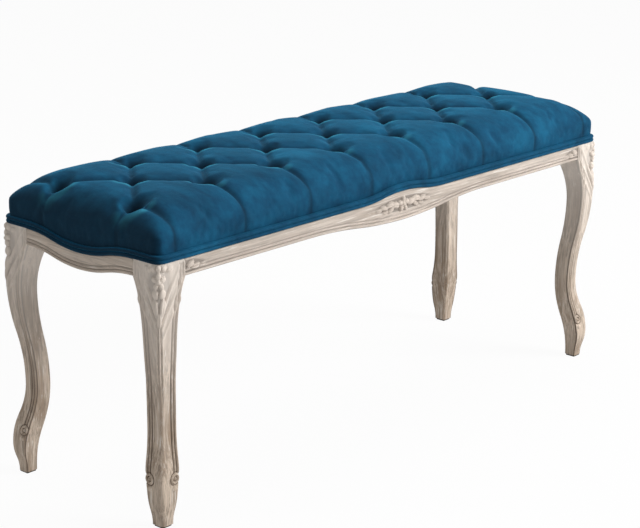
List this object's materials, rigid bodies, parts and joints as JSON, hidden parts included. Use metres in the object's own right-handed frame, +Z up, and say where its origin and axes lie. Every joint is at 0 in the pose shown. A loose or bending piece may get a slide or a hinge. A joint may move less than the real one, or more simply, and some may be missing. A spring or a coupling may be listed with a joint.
{
  "type": "upholstered bench",
  "caption": "Long upholstered bench: deep-tufted velvet seat with a double welt, shaped rails and carved cabriole legs in pale weathered wood.",
  "frame": {"origin": "on the floor, under the middle of the bench", "axes": "+X along the seat to the right as seen from the front, +Y to the rear, +Z up"},
  "size_m": [1.126, 0.358, 0.505],
  "materials": {
    "weathered_wood": "pale limed and weathered, fine brown grain, dull",
    "plain_wood": "sawn, unfinished",
    "plywood": "sanded face, unfinished",
    "velvet": "peacock blue velvet pile with a soft sheen",
    "foam": "open-cell upholstery foam",
    "twine": "waxed flax twine",
    "plated_steel": "zinc plated",
    "felt": "dark pressed felt",
    "black_cloth": "black spun cloth"
  },
  "bodies": {
    "root": {"leg_front_left": "weathered_wood", "leg_front_right": "weathered_wood", "leg_rear_left": "weathered_wood", "leg_rear_right": "weathered_wood", "glide_front_left": "felt", "glide_front_right": "felt", "glide_rear_left": "felt", "glide_rear_right": "felt", "front_rail": "weathered_wood", "rear_rail": "weathered_wood", "left_end_rail": "weathered_wood", "right_end_rail": "weathered_wood", "corner_block_front_left": "plain_wood", "corner_block_front_right": "plain_wood", "corner_block_rear_left": "plain_wood", "corner_block_rear_right": "plain_wood", "hanger_bolts": "plated_steel", "bolt_washers": "plated_steel", "bolt_nuts": "plated_steel", "corner_block_screws": "plated_steel", "front_cleat": "plain_wood", "rear_cleat": "plain_wood", "left_cross_brace": "plain_wood", "right_cross_brace": "plain_wood", "seat_board": "plywood", "seat_board_screws": "plated_steel", "foam_pad": "foam", "tufted_cover": "velvet", "tuft_buttons": "velvet", "tuft_twines": "twine", "twine_staples": "plated_steel", "cover_staples": "plated_steel", "double_welt": "velvet", "dust_cover": "black_cloth", "dust_cover_staples": "plated_steel"}
  },
  "joints": []
}
